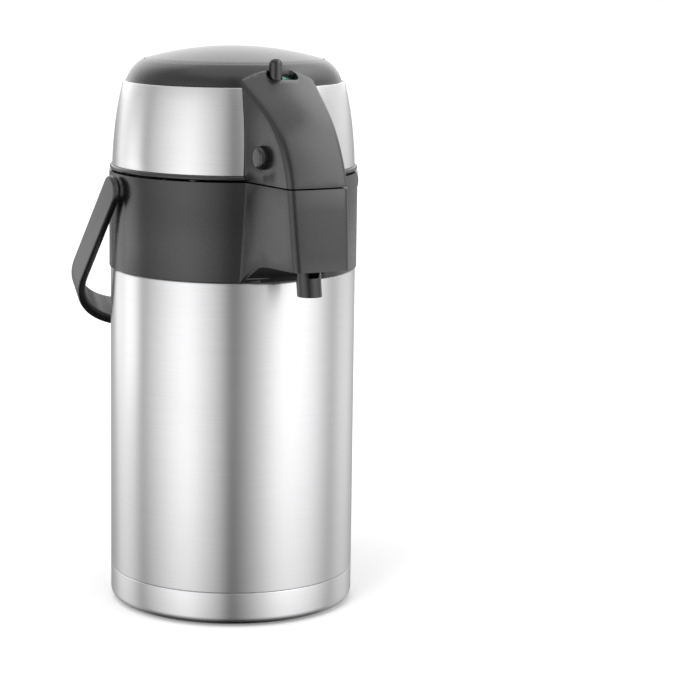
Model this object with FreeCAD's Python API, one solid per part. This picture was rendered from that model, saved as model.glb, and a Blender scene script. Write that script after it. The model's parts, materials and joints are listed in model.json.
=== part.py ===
import FreeCAD, Part
import math
import os
from FreeCAD import Vector

# A pump pot that stands on Z = 0 with its axis on Z, in millimetres.
# The spout points along -Y, the head's hinge is at +Y, and left is -X.

up = Vector(0, 0, 1)
across = Vector(1, 0, 0)
origin = Vector(0, 0, 0)

# Overall sizes, which the rest follows
shell_radius = 75.2
shell_height = 209.0
base_height = 21.0
collar_height = 58.5
band_height = 50.8
cap_height = 13.2
dome_rise = 7.8
neck_radius = 40.0

# Gaps that more than one fit shares
fit_gap = 0.3
tube_fit = 0.05
slide_gap = 0.3
seam_gap = 0.2
lid_gap = 0.9

# How far joined shapes sink into each other, and how far cuts run past what they cut
weld = 0.5
overcut = 1.0
tiny = 0.01

# Steel vessel and base
sheet = 0.8
base_edge_radius = 5.0
base_lift = 1.0
pad_inset = 13.6
pad_thickness = 4.0
pad_gap = 0.7
pad_edge = 0.8
pad_groove_inset = 4.6
pad_groove_width = 1.2
pad_groove_depth = 0.6
sleeve_overlap = 6.0
shell_joggle = 2.8
vacuum_gap = 10.9
liner_bottom = 10.0
liner_corner = 6.0
shell_shoulder_rise = 21.0
shell_neck_rise = 33.0
liner_shoulder_rise = 13.0
liner_neck_rise = 28.0
rim_rise = 37.0
neck_flange = 7.0

# Collar and deck
collar_overhang = 0.8
collar_wall = 3.0
moulding_wall = 2.4
ledge_width = 2.5
ledge_height = 2.6
ledge_break_angle = 28.0
deck_thickness = 2.4
deck_drop = 1.5

# Beak, which the collar and the cap share
beak_length = 42.5
beak_toe_length = 5.5
beak_rise = 12.0
beak_arch_length = 22.0
beak_arch_root = 1.5
beak_window_rise = 40.0
beak_edge_radius = 4.5
beak_root_inset = 6.0
beak_root_half = 25.8
beak_taper = 0.137
beak_lower_narrowing = 0.00143
beak_hollow = 0.8
beak_lower_flare = 0.05
beak_upper_lean = 0.05
beak_front_radius = 160.0
beak_front_angle = 18.0
beak_brow_length = 2.5
beak_brow_drop = 1.4
beak_crown_radius = 50.0
beak_crown_half = 36.0
beak_bend_length = 10.0
beak_bend_drop = 20.4
beak_near_inset = 16.0
beak_tail = 10.0
beak_spare = 6.0

# Head: rim, steel band and the cap's shoulder
lid_rim_inset = 0.3
lid_rim_height = 2.8
lid_rim_width = 5.2
band_low_inset = 1.8
band_mid_inset = 3.5
band_mid_rise = 23.8
band_top_inset = 8.4
shoulder_inset = 2.0
shoulder_via_inset = 5.3
shoulder_via_rise = 7.0
cap_mouth_inset = 12.6

# Press dome, pump housing and bellows
dome_gap = 0.4
dome_wall = 2.6
skirt_wall = 2.4
skirt_depth = 22.2
press_stroke = 20.0
housing_gap = 0.2
housing_wall = 2.0
housing_drop = 4.2
bellows_gap = 8.2
bellows_fold = 8.0
bellows_wall = 1.0
bellows_folds = 6
bellows_base_rim = 3.0
bellows_base_thickness = 3.1
bellows_cap_thickness = 3.0
bellows_drop = 8.2
push_boss_radius = 14.0
push_boss_wall = 3.0
spring_radius = 16.0
spring_wire = 1.1
spring_turns = 9
spring_end_gap = 0.2

# Lock lever, its slide and the slot that it stands in
lock_turn = 8.0
slot_length = 9.2
slot_half_width = 4.3
slot_first_angle = -3.8
slot_last_angle = 6.4
lever_radius = 3.9
lever_round = 3.2
lever_angle = -2.5
lever_rise = 3.8
slide_clearance = 0.6
slide_width = 7.2
slide_lug_width = 10.5
slide_drop = 4.0
slide_thickness = 2.5
slide_half_angle = 28.0
lug_half_angle = 4.5
hump_width = 1.4
hump_drop = 6.5
hump_fall = 3.0
hump_end_angle = 9.5
tab_angle = -20.0
tab_half_angle = 3.0
tab_reach = 2.2
tab_clearance_angle = 1.0
tab_clearance = 0.6
shelf_thickness = 2.6

# Release buttons, latch claws and their springs
button_radius = 6.6
button_gap = 0.3
button_length = 10.5
button_rise = 16.0
button_proud = 2.8
button_depth = 12.6
button_round = 2.4
button_flange = 1.8
button_flange_thickness = 2.0
button_wall = 2.1
button_face_wall = 3.7
button_travel = 2.5
claw_thickness = 2.0
claw_head_half = 6.5
claw_leg_half = 3.5
claw_hook = 4.4
claw_hook_height = 2.4
claw_hook_lip = 0.8
claw_gap = 0.4
claw_slot_clearance = 0.6
hook_grip = 1.6
button_spring_gap = 1.0
button_spring_wire = 0.45
button_spring_turns = 8
spring_post_half = 1.5
spring_post_half_depth = 7.0
spring_post_rise = 8.5

# Mouth, seals and the tubes that carry the drink
neck_seal_thickness = 1.5
mouth_step = 3.0
mouth_wall = 7.3
mouth_flange_thickness = 2.7
mouth_skirt = 11.0
gasket_gap = 0.3
gasket_inset = 0.5
elbow_rise = 10.6
elbow_outer = 5.0
elbow_bore = 3.5
elbow_bend = 9.0
socket_outer = 6.0
socket_depth = 9.0
socket_stop = 1.0
dip_inset = 14.0
dip_outer = 4.0
dip_wall = 0.7
dip_lift = 4.2
grommet_wall = 2.0
nozzle_length = 27.0
nozzle_lean = 3.0
nozzle_top_radius = 7.4
nozzle_tip_radius = 7.2
nozzle_bore = 5.2
nozzle_drop = 16.5
nozzle_flange = 2.2
nozzle_flange_thickness = 2.0
nozzle_neck = 3.0
nozzle_notch_half = 6.4
nozzle_notch_foot_half = 3.2
nozzle_notch_height = 5.4
nozzle_notch_round = 1.2
spout_floor_thickness = 2.0
spout_floor_recess = 1.5
valve_wall = 2.0
valve_bore = 5.6
valve_height = 17.0
valve_seat_bore = 2.6
valve_seat_thickness = 2.0
valve_slot_reach = 4.4
valve_slot_half = 0.9
valve_ball_radius = 4.3
valve_overlap = 3.0
flap_radius = 9.0
flap_thickness = 1.0
flap_stem_radius = 1.5
air_hole_radius = 1.6
air_hole_reach = 5.0
air_hole_count = 4

# Carrying handle and its pivots
handle_pivot_drop = 9.5
handle_side_gap = 1.9
handle_rest_gap = 1.1
handle_front_gap = 1.2
handle_arm_thickness = 4.6
handle_width = 17.7
handle_grip_thickness = 9.0
handle_outer_corner = 52.7
handle_inner_corner = 45.0
handle_edge = 1.6
pivot_radius = 3.5
pivot_bite = 3.0
pivot_head_radius = 5.2
pivot_head_thickness = 1.4
pivot_head_gap = 0.45
pivot_boss_radius = 7.5
pivot_boss_gap = 0.3

# Hinge at the rear
hinge_length = 6.0
hinge_drop = 1.5
hinge_barrel_radius = 5.0
hinge_pin_radius = 2.0
hinge_pin_fit = 0.04
knuckle_half = 10.6
knuckle_arm = 1.9
ear_gap = 0.4
ear_width = 7.0
ear_depth = 9.0

# Screws, which share one size
screw_radius = 1.5
screw_head_radius = 2.8
screw_head_height = 1.6
screw_drive_radius = 1.2
screw_hole_gap = 0.15
screw_thread_gap = 0.03
screw_end_gap = 1.0
screw_boss_radius = 4.6
lid_screw_inset = 9.0
lid_screw_length = 11.0
lid_screw_angles = (45, 135, 225, 315)
deck_screw_length = 9.0
deck_screw_angles = (62, 118, 242, 298)

# Radii and reaches that follow from the sizes above
pad_radius = shell_radius - pad_inset
liner_radius = shell_radius - sheet - vacuum_gap
collar_radius = shell_radius + collar_overhang
collar_inner = collar_radius - collar_wall
lid_rim_radius = collar_radius - lid_rim_inset
lid_rim_inner = lid_rim_radius - lid_rim_width
band_low_radius = collar_radius - band_low_inset
band_mid_radius = collar_radius - band_mid_inset
band_top_radius = collar_radius - band_top_inset
shoulder_radius = band_top_radius - shoulder_inset
shoulder_via_radius = band_top_radius - shoulder_via_inset
cap_mouth_radius = band_top_radius - cap_mouth_inset
dome_radius = cap_mouth_radius - dome_gap
skirt_inner = dome_radius - skirt_wall
bellows_radius = skirt_inner - bellows_gap
housing_inner = cap_mouth_radius + housing_gap
housing_outer = housing_inner + housing_wall
slot_reach = cap_mouth_radius + slot_length
slide_inner = housing_outer + slide_clearance
slide_outer = slide_inner + slide_width
hump_outer = slide_inner + hump_width
mouth_radius = neck_radius - mouth_step
mouth_outer = mouth_radius + mouth_wall
dip_reach = neck_radius - dip_inset
beak_reach = collar_radius + beak_length
beak_toe_reach = beak_reach + beak_toe_length
beak_root_reach = collar_radius - beak_root_inset
beak_brow_reach = cap_mouth_radius + beak_brow_length
beak_bend_reach = collar_radius + beak_bend_length
beak_near = collar_radius - beak_near_inset
beak_far = beak_toe_reach + beak_spare
button_reach = collar_radius + button_length
nozzle_reach = collar_radius + nozzle_length
hinge_reach = collar_radius + hinge_length
ear_end = knuckle_half + ear_gap + ear_width
lid_screw_ring = collar_radius - lid_screw_inset
deck_screw_ring = collar_inner - screw_boss_radius

# Heights that follow from the sizes above
rim_height = shell_height + rim_rise
mouth_seat = rim_height + sheet + neck_seal_thickness
elbow_height = rim_height + elbow_rise
elbow_foot = elbow_height - elbow_bend - socket_depth
collar_top = shell_height + collar_height
deck_top = collar_top - deck_drop
deck_bottom = deck_top - deck_thickness
beak_bottom = shell_height + beak_rise
spout_floor_bottom = beak_bottom + spout_floor_recess
spout_floor_top = spout_floor_bottom + spout_floor_thickness
nozzle_top = spout_floor_top + nozzle_flange_thickness + nozzle_neck
nozzle_tip = beak_bottom - nozzle_drop
valve_seat = nozzle_top + valve_seat_thickness
valve_top = nozzle_top + valve_height
hinge_height = collar_top - hinge_drop
lid_bottom = collar_top + lid_gap
band_bottom = lid_bottom + lid_rim_height
floor_top = band_bottom
floor_thickness = floor_top - lid_bottom
band_top = band_bottom + band_height
cap_top = band_top + cap_height
dome_top = cap_top + dome_rise
skirt_bottom = cap_top - skirt_depth
bellows_bottom = floor_top + bellows_base_thickness
bellows_top = cap_top - bellows_drop
slide_bottom = skirt_bottom - slide_drop
slide_top = slide_bottom + slide_thickness
hump_top = cap_top - hump_drop
lever_top = cap_top + lever_rise
beak_bend_height = cap_top - beak_bend_drop
button_height = collar_top + button_rise

# The handle lies against the shell at rest and clears the beak at the front
handle_pivot_height = collar_top - handle_pivot_drop
handle_inner_half = collar_radius + handle_side_gap
handle_outer_half = handle_inner_half + handle_arm_thickness
handle_inner_length = beak_reach + handle_front_gap
handle_length = handle_inner_length + handle_grip_thickness
handle_swing = math.hypot(handle_inner_length, handle_width / 2.0)
handle_hang = math.acos((shell_radius + handle_rest_gap) / handle_swing)
handle_drop = handle_hang - math.atan2(handle_width / 2.0, handle_inner_length)


def outline(path, place):
    # A flat face whose sides are straight, or arcs where a step also names a point on the way.
    # A straight step of no length is passed over.
    edges = []
    start = path[0]
    for step in path[1:] + path[:1]:
        first = place(*start[:2])
        last = place(*step[:2])
        if len(step) == 4:
            edges.append(Part.Arc(first, place(*step[2:]), last).toShape())
        elif first.distanceToPoint(last) > tiny:
            edges.append(Part.LineSegment(first, last).toShape())
        start = step
    return Part.Face(Part.Wire(edges))


def turned(*path):
    # A solid turned about the pot's axis from (radius, height) steps
    return outline(path, lambda r, z: Vector(r, 0, z)).revolve(origin, up, 360)


def disc(radius, bottom, top, x=0.0, y=0.0):
    return Part.makeCylinder(radius, top - bottom, Vector(x, y, bottom), up)


def tube(outer, inner, bottom, top, x=0.0, y=0.0):
    return disc(outer, bottom, top, x, y).cut(disc(inner, bottom, top, x, y))


def rod(radius, start_x, end_x, y, z):
    # A round bar along X
    return Part.makeCylinder(radius, end_x - start_x, Vector(start_x, y, z), across)


def block(x0, x1, y0, y1, z0, z1):
    return Part.makeBox(x1 - x0, y1 - y0, z1 - z0, Vector(x0, y0, z0))


def sector(outer, inner, bottom, top, first_angle, last_angle):
    # Part of a ring, with angles from the spout's direction towards +X
    span = last_angle - first_angle
    whole = Part.makeCylinder(outer, top - bottom, Vector(0, 0, bottom), up, span)
    whole = whole.cut(disc(inner, bottom, top))
    whole.rotate(origin, up, first_angle - 90.0)
    return whole


def around(reach, angle):
    # A point at an angle from the spout's direction
    turn = math.radians(angle)
    return reach * math.sin(turn), -reach * math.cos(turn)


def mirrored(shape):
    return shape.mirror(origin, across)


def arc_leaving(start, heading, end):
    # The halfway point of the arc that leaves start along heading and stops at end
    length = math.hypot(*heading)
    normal = (heading[1] / length, -heading[0] / length)
    chord = (end[0] - start[0], end[1] - start[1])
    lean = chord[0] * normal[0] + chord[1] * normal[1]
    radius = (chord[0] ** 2 + chord[1] ** 2) / (2.0 * lean)
    centre = (start[0] + radius * normal[0], start[1] + radius * normal[1])
    middle = ((start[0] + end[0]) / 2.0 - centre[0], (start[1] + end[1]) / 2.0 - centre[1])
    stretch = abs(radius) / math.hypot(*middle)
    return centre[0] + middle[0] * stretch, centre[1] + middle[1] * stretch


def quarter_via(corner, radius, to_centre):
    # The halfway point of a quarter round inside a square corner
    short = radius * (1.0 - math.sqrt(0.5))
    return corner[0] + to_centre[0] * short, corner[1] + to_centre[1] * short


def helix_spring(radius, wire, turns, length):
    # A round-wire coil that stands on the origin along Z
    path = Part.makeHelix((length - 2.0 * wire) / turns, length - 2.0 * wire, radius)
    path.translate(Vector(0, 0, wire))
    section = Part.Wire(Part.makeCircle(wire, Vector(radius, 0, wire), Vector(0, 1, 0)))
    return Part.Wire(path.Edges).makePipeShell([section], True, True)


# Beak: a front face turned about a far axis, between two tapering sides

front_axis = Vector(0, beak_front_radius - beak_reach, 0)


def beak_half(reach, height):
    half = beak_root_half - beak_taper * (reach - beak_root_reach)
    if height > collar_top:
        return half - beak_upper_lean * (height - collar_top)
    narrowing = beak_lower_narrowing * (reach - beak_root_reach)
    return half + (beak_lower_flare - narrowing) * (collar_top - height)


def beak_section(height, inset):
    middle = (beak_near + beak_far) / 2.0
    near_half = beak_half(beak_near, height) - inset
    far_half = beak_half(beak_far, height) - inset
    mid_half = beak_half(middle, height) - inset - beak_hollow
    corners = (
        (-near_half, -beak_near),
        (-far_half, -beak_far, -mid_half, -middle),
        (far_half, -beak_far),
        (near_half, -beak_near, mid_half, -middle),
    )
    return outline(corners, lambda x, y: Vector(x, y, height)).OuterWire


def beak_sides(bottom, top, inset):
    return Part.makeLoft([beak_section(bottom, inset), beak_section(top, inset)], True, True)


def beak_front(*path):
    face = outline(path, lambda reach, height: Vector(0, -reach, height))
    face.rotate(front_axis, up, -beak_front_angle)
    return face.revolve(front_axis, up, 2.0 * beak_front_angle)


def soften_front(shape, radius, lowest, highest):
    # Rounds the long edges between the front and the sides
    picked = []
    for edge in shape.Edges:
        box = edge.BoundBox
        tall = box.ZLength > radius and lowest < box.Center.z < highest
        if tall and abs(box.Center.x) > radius and box.YMin < -beak_near - radius:
            picked.append(edge)
    return shape.makeFillet(radius, picked)


def upper_beak(inset, bottom):
    brow = (beak_brow_reach - inset, cap_top - beak_brow_drop - inset)
    bend = (beak_bend_reach - inset, beak_bend_height - inset)
    toe = (beak_reach - inset, collar_top)
    tail = cap_mouth_radius - beak_tail
    sides = beak_sides(bottom, cap_top + overcut, inset)
    room = sides.common(block(-collar_radius, collar_radius, -beak_far, -tail, bottom, cap_top - inset))
    return room.cut(beyond_front(brow, bend, toe, inset))


def beyond_front(brow, bend, toe, inset):
    # All that lies in front of a smooth face from brow to toe, which is crowned across.
    # The crown is round at the brow, where it meets the cap's shoulder, and flattens towards the toe.
    run = (bend[0] - brow[0], bend[1] - brow[1])
    via = arc_leaving(bend, run, toe)
    slope = Part.LineSegment(Vector(0, -brow[0], brow[1]), Vector(0, -bend[0], bend[1]))
    fall = Part.Arc(*[Vector(0, -reach, height) for reach, height in (bend, via, toe)])
    line = [slope.value(slope.FirstParameter + share * slope.length()) for share in (-0.6, 0.0, 0.5)]
    span = fall.LastParameter - fall.FirstParameter
    line += [fall.value(fall.FirstParameter + share * span) for share in (0.0, 0.25, 0.5, 0.75, 1.0, 1.1)]
    rows = []
    for number, point in enumerate(line):
        before = line[max(number - 1, 0)]
        after = line[min(number + 1, len(line) - 1)]
        along = after.sub(before).normalize()
        inward = across.cross(along)
        share = max(number - 1, 0) / (len(line) - 2.0)
        radius = beak_crown_radius + share * (beak_front_radius - beak_crown_radius) - inset
        row = []
        for step in (-1.0, -0.75, -0.5, -0.25, 0.0, 0.25, 0.5, 0.75, 1.0):
            x = step * beak_crown_half
            sag = radius - math.sqrt(radius ** 2 - x ** 2)
            row.append(point + inward * sag + across * x)
        rows.append(row)
    face = Part.BSplineSurface()
    face.interpolate(rows)
    return face.toShape().extrude(Vector(0, -beak_far, 0.3 * beak_far))


def lower_beak(inset, bottom, near):
    fall = (beak_toe_reach - beak_reach) / (collar_top - beak_bottom)
    toe = beak_reach + fall * (collar_top - bottom) - inset
    front = beak_front((near, bottom), (toe, bottom), (beak_reach - inset, collar_top), (near, collar_top))
    return front.common(beak_sides(bottom, collar_top, inset))


def under_arch(flat_height):
    # All below an arch that rises from the collar's foot to a flat underside of the beak
    flat_start = (collar_radius + beak_arch_length, flat_height)
    arch_foot = (collar_radius - beak_arch_root, shell_height)
    return beak_front(
        (arch_foot[0], shell_height - overcut),
        arch_foot,
        flat_start + arc_leaving(flat_start, (-1.0, 0.0), arch_foot),
        (beak_far, flat_height),
        (beak_far, shell_height - overcut),
    )


def beak_slice(bottom, top, near):
    # A flat slab wider than the beak, from near outwards
    return block(-collar_radius, collar_radius, -beak_far, -near, bottom, top)


# The buttons stand proud of the beak's sides

button_face = beak_half(button_reach, button_height) + button_proud
button_flange_back = button_face - button_depth
button_flange_front = button_flange_back + button_flange_thickness
button_pocket_end = button_face - button_face_wall
button_pocket_radius = button_radius - button_wall
claw_back = button_flange_back - claw_thickness
hook_tip = button_flange_back + claw_hook


# Steel vessel and base

def make_outer_shell():
    inner = shell_radius - sheet
    step = shell_radius - shell_joggle
    neck = neck_radius + neck_flange
    shoulder = shell_height + shell_shoulder_rise
    neck_start = shell_height + shell_neck_rise
    via = quarter_via((shell_radius, shell_height), shell_joggle - sheet, (-1, -1))
    return turned(
        (shell_radius, base_height + seam_gap / 2.0),
        (shell_radius, shell_height - shell_joggle + sheet),
        (step + sheet, shell_height) + via,
        (step, shell_height),
        (step, shoulder),
        (neck, neck_start),
        (neck, rim_height),
        (neck - sheet, rim_height),
        (neck - sheet, neck_start - sheet),
        (step - sheet, shoulder - sheet),
        (step - sheet, shell_height - sheet),
        (inner, shell_height - shell_joggle),
        (inner, base_height + seam_gap / 2.0),
    )


def make_base_cup():
    inner = shell_radius - sheet
    recess = pad_radius + pad_gap
    round_via = quarter_via((shell_radius, base_lift), base_edge_radius, (-1, 1))
    inner_via = quarter_via((inner, base_lift + sheet), base_edge_radius - sheet, (-1, 1))
    cup = turned(
        (shell_radius, base_height - seam_gap / 2.0),
        (inner, base_height - seam_gap / 2.0),
        (inner, base_lift + base_edge_radius),
        (shell_radius - base_edge_radius, base_lift + sheet) + inner_via,
        (recess + sheet, base_lift + sheet),
        (recess + sheet, pad_thickness + sheet),
        (0, pad_thickness + sheet),
        (0, pad_thickness),
        (recess, pad_thickness),
        (recess, base_lift),
        (shell_radius - base_edge_radius, base_lift),
        (shell_radius, base_lift + base_edge_radius) + round_via,
    )
    sleeve_top = base_height + sleeve_overlap
    sleeve = tube(inner, inner - sheet, base_height - sleeve_overlap, base_height)
    sleeve = sleeve.fuse(tube(inner - tube_fit, inner - sheet, base_height, sleeve_top))
    return cup.fuse(sleeve).removeSplitter()


def make_base_pad():
    edge_via = quarter_via((pad_radius, 0), pad_edge, (-1, 1))
    pad = turned(
        (0, 0),
        (pad_radius - pad_edge, 0),
        (pad_radius, pad_edge) + edge_via,
        (pad_radius, pad_thickness),
        (0, pad_thickness),
    )
    groove_outer = pad_radius - pad_groove_inset
    return pad.cut(tube(groove_outer, groove_outer - pad_groove_width, 0, pad_groove_depth))


def make_inner_liner():
    outer = liner_radius + sheet
    bottom_via = quarter_via((outer, liner_bottom), liner_corner + sheet, (-1, 1))
    inside_via = quarter_via((liner_radius, liner_bottom + sheet), liner_corner, (-1, 1))
    neck = neck_radius + sheet
    shoulder = shell_height + liner_shoulder_rise
    neck_start = shell_height + liner_neck_rise
    return turned(
        (0, liner_bottom),
        (outer - liner_corner - sheet, liner_bottom),
        (outer, liner_bottom + liner_corner + sheet) + bottom_via,
        (outer, shoulder),
        (neck, neck_start),
        (neck, rim_height),
        (neck_radius + neck_flange, rim_height),
        (neck_radius + neck_flange, rim_height + sheet),
        (neck_radius, rim_height + sheet),
        (neck_radius, neck_start - sheet),
        (liner_radius, shoulder - sheet),
        (liner_radius, liner_bottom + sheet + liner_corner),
        (liner_radius - liner_corner, liner_bottom + sheet) + inside_via,
        (0, liner_bottom + sheet),
    )


# Mouth and drink tubes

def make_neck_seal():
    seat = rim_height + sheet
    return tube(neck_radius + neck_flange, neck_radius, seat, mouth_seat)


def make_mouth_ring():
    flange_top = mouth_seat + mouth_flange_thickness
    flange = tube(neck_radius + neck_flange, mouth_radius, mouth_seat, flange_top)
    wall = tube(mouth_outer, mouth_radius, mouth_seat, deck_top)
    skirt = tube(neck_radius - fit_gap, mouth_radius, mouth_seat - mouth_skirt, mouth_seat)
    ring = flange.fuse([wall, skirt]).removeSplitter()
    hole_radius = elbow_outer + grommet_wall + tube_fit
    hole = Part.makeCylinder(hole_radius, mouth_outer, Vector(0, 0, elbow_height), Vector(0, -1, 0))
    return ring.cut(hole)


def make_tube_grommet():
    start = Vector(0, -mouth_radius, elbow_height)
    outer = Part.makeCylinder(elbow_outer + grommet_wall, mouth_wall, start, Vector(0, -1, 0))
    bore = Part.makeCylinder(elbow_outer + tube_fit, mouth_wall, start, Vector(0, -1, 0))
    shape = outer.cut(bore)
    return shape.common(tube(mouth_outer, mouth_radius, mouth_seat, deck_top))


def elbow_path():
    drop = valve_top - valve_overlap
    bend = elbow_bend
    short = bend * (1.0 - math.sqrt(0.5))
    points = (
        (dip_reach, elbow_foot),
        (dip_reach, elbow_height - bend),
        (dip_reach + bend, elbow_height),
        (nozzle_reach - bend, elbow_height),
        (nozzle_reach, elbow_height - bend),
        (nozzle_reach, drop),
    )
    places = [Vector(0, -reach, height) for reach, height in points]
    first_via = Vector(0, -dip_reach - short, elbow_height - short)
    last_via = Vector(0, -nozzle_reach + short, elbow_height - short)
    edges = [
        Part.LineSegment(places[0], places[1]).toShape(),
        Part.Arc(places[1], first_via, places[2]).toShape(),
        Part.LineSegment(places[2], places[3]).toShape(),
        Part.Arc(places[3], last_via, places[4]).toShape(),
        Part.LineSegment(places[4], places[5]).toShape(),
    ]
    return Part.Wire(edges), places[0]


def swept_bar(path, start, radius):
    section = Part.Wire(Part.makeCircle(radius, start, up))
    return path.makePipeShell([section], True, True)


def make_outlet_elbow():
    path, start = elbow_path()
    outer = swept_bar(path, start, elbow_outer)
    socket = disc(socket_outer, start.z, start.z + socket_depth, 0, -dip_reach)
    seat_top = start.z + socket_depth - socket_stop
    seat = disc(dip_outer + tube_fit, start.z, seat_top, 0, -dip_reach)
    return outer.fuse(socket).cut(swept_bar(path, start, elbow_bore)).cut(seat)


def make_dip_tube():
    foot = liner_bottom + sheet + dip_lift
    top = elbow_foot + socket_depth - socket_stop
    return tube(dip_outer, dip_outer - dip_wall, foot, top, 0, -dip_reach)


def make_valve_housing():
    outer = valve_bore + valve_wall
    body = disc(outer, nozzle_top, valve_top, 0, -nozzle_reach)
    body = body.cut(disc(valve_bore, valve_seat, valve_top, 0, -nozzle_reach))
    body = body.cut(disc(valve_seat_bore, nozzle_top, valve_seat, 0, -nozzle_reach))
    # Three slots let the drink pass round the ball
    for angle in (0, 120, 240):
        slot = block(-valve_slot_half, valve_slot_half, 0, valve_slot_reach, nozzle_top, valve_seat)
        slot.rotate(origin, up, angle)
        slot.translate(Vector(0, -nozzle_reach, 0))
        body = body.cut(slot)
    throat_low = valve_top - valve_overlap
    throat = tube(valve_bore, elbow_outer + tube_fit, throat_low, valve_top, 0, -nozzle_reach)
    return body.fuse(throat).removeSplitter()


def make_valve_ball():
    sink = math.sqrt(valve_ball_radius ** 2 - valve_seat_bore ** 2)
    return Part.makeSphere(valve_ball_radius, Vector(0, -nozzle_reach, valve_seat + sink + tube_fit))


def nozzle_bar(top_radius, tip_radius, top, tip):
    start = Part.Wire(Part.makeCircle(top_radius, Vector(0, -nozzle_reach, top), up))
    end_y = -nozzle_reach - nozzle_lean
    end = Part.Wire(Part.makeCircle(tip_radius, Vector(0, end_y, tip), up))
    return Part.makeLoft([end, start], True, True)


def make_nozzle():
    spout = nozzle_bar(nozzle_top_radius, nozzle_tip_radius, spout_floor_bottom, nozzle_tip)
    neck = disc(nozzle_top_radius, spout_floor_bottom, nozzle_top, 0, -nozzle_reach)
    flange_top = spout_floor_top + nozzle_flange_thickness
    flange = disc(nozzle_top_radius + nozzle_flange, spout_floor_top, flange_top, 0, -nozzle_reach)
    body = spout.fuse([neck, flange]).removeSplitter()
    body = body.cut(nozzle_bar(nozzle_bore, nozzle_bore, spout_floor_bottom, nozzle_tip))
    body = body.cut(disc(nozzle_bore, spout_floor_bottom, nozzle_top, 0, -nozzle_reach))
    # Notch in the front wall, narrower towards its foot and round there
    half = nozzle_notch_half
    foot = nozzle_notch_foot_half
    notch_low = beak_bottom - nozzle_notch_height
    front = -nozzle_reach - nozzle_top_radius - nozzle_lean
    depth = nozzle_top_radius + nozzle_lean - overcut
    corners = ((-half, spout_floor_bottom), (-foot, notch_low), (foot, notch_low), (half, spout_floor_bottom))
    notch = outline(corners, lambda x, height: Vector(x, front, height)).extrude(Vector(0, depth, 0))
    boxes = [(edge, edge.BoundBox) for edge in notch.Edges]
    lowest = [edge for edge, box in boxes if box.ZMax < notch_low + tiny and box.YLength > foot]
    return body.cut(notch.makeFillet(nozzle_notch_round, lowest))


def make_spout_floor():
    near = collar_radius + fit_gap
    plate = lower_beak(moulding_wall + fit_gap, shell_height, near)
    plate = plate.common(beak_slice(shell_height, spout_floor_top, 0.0))
    plate = plate.cut(disc(near, shell_height, spout_floor_top)).cut(under_arch(spout_floor_bottom))
    hole = disc(nozzle_top_radius + tube_fit, shell_height, spout_floor_top, 0, -nozzle_reach)
    return plate.cut(hole)


# Collar and deck

def pivot_bores(radius):
    reach = collar_radius + handle_outer_half
    return rod(radius, -reach, reach, 0, handle_pivot_height)


def hinge_bar(radius, first_x, last_x):
    return rod(radius, first_x, last_x, hinge_reach, hinge_height)


def make_collar():
    ring = tube(collar_radius, collar_inner, shell_height, collar_top)
    outer = lower_beak(0.0, shell_height, beak_near)
    outer = soften_front(outer.cut(under_arch(beak_bottom)), beak_edge_radius, beak_bottom, collar_top)
    outer = outer.cut(disc(collar_inner, shell_height, collar_top))
    hollow_low = lower_beak(moulding_wall, shell_height, collar_radius)
    hollow_low = hollow_low.cut(disc(collar_radius, shell_height, collar_top))
    hollow_high = lower_beak(moulding_wall, shell_height, beak_root_reach)
    window_low = shell_height + beak_window_rise
    hollow_high = hollow_high.common(beak_slice(window_low, collar_top + overcut, 0.0))
    ring = ring.fuse(outer).removeSplitter().cut(hollow_low).cut(hollow_high)
    ledge_low = deck_bottom - ledge_height
    ledge = tube(collar_inner + weld, collar_inner - ledge_width, ledge_low, deck_bottom)
    gap = sector(collar_radius, neck_radius, ledge_low, deck_bottom, -ledge_break_angle, ledge_break_angle)
    ledge = ledge.cut(gap)
    pieces = [ledge]
    for angle in deck_screw_angles:
        x, y = around(deck_screw_ring, angle)
        boss_low = deck_bottom - deck_screw_length - screw_end_gap
        pieces.append(disc(screw_boss_radius, boss_low, deck_bottom, x, y))
    ear_foot = hinge_height - ear_depth
    for side in (-1, 1):
        boss_root = side * (collar_inner + weld)
        first, last = sorted((boss_root, side * (handle_inner_half - pivot_boss_gap)))
        pieces.append(rod(pivot_boss_radius, first, last, 0, handle_pivot_height))
        first, last = sorted((side * (knuckle_half + ear_gap), side * ear_end))
        ear = outline(
            (
                (collar_inner + weld, ear_foot),
                (hinge_reach, ear_foot),
                (hinge_reach + hinge_barrel_radius, hinge_height),
                (collar_inner + weld, hinge_height),
            ),
            lambda y, z: Vector(first, y, z),
        ).extrude(Vector(last - first, 0, 0))
        pieces.append(ear.fuse(hinge_bar(hinge_barrel_radius, first, last)))
    collar = ring.fuse(pieces).removeSplitter()
    # Each pivot pin's head needs room in the ledge
    head_room = pivot_bores(pivot_head_radius + pivot_boss_gap)
    collar = collar.cut(head_room.common(disc(collar_inner, shell_height, collar_top)))
    collar = collar.cut(pivot_bores(pivot_radius + tube_fit))
    collar = collar.cut(hinge_bar(hinge_pin_radius + hinge_pin_fit, -ear_end, ear_end))
    for angle in deck_screw_angles:
        x, y = around(deck_screw_ring, angle)
        drill_low = deck_bottom - deck_screw_length
        collar = collar.cut(disc(screw_radius + screw_thread_gap, drill_low, deck_bottom, x, y))
    return collar


def claw_slot(bottom, top, outer_x):
    # Room for a claw's leg to slide inwards
    inner_x = claw_back - button_travel - claw_slot_clearance
    half = claw_leg_half + claw_slot_clearance
    slot = block(inner_x, outer_x, -button_reach - half, -button_reach + half, bottom, top)
    return slot.fuse(mirrored(slot))


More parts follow.
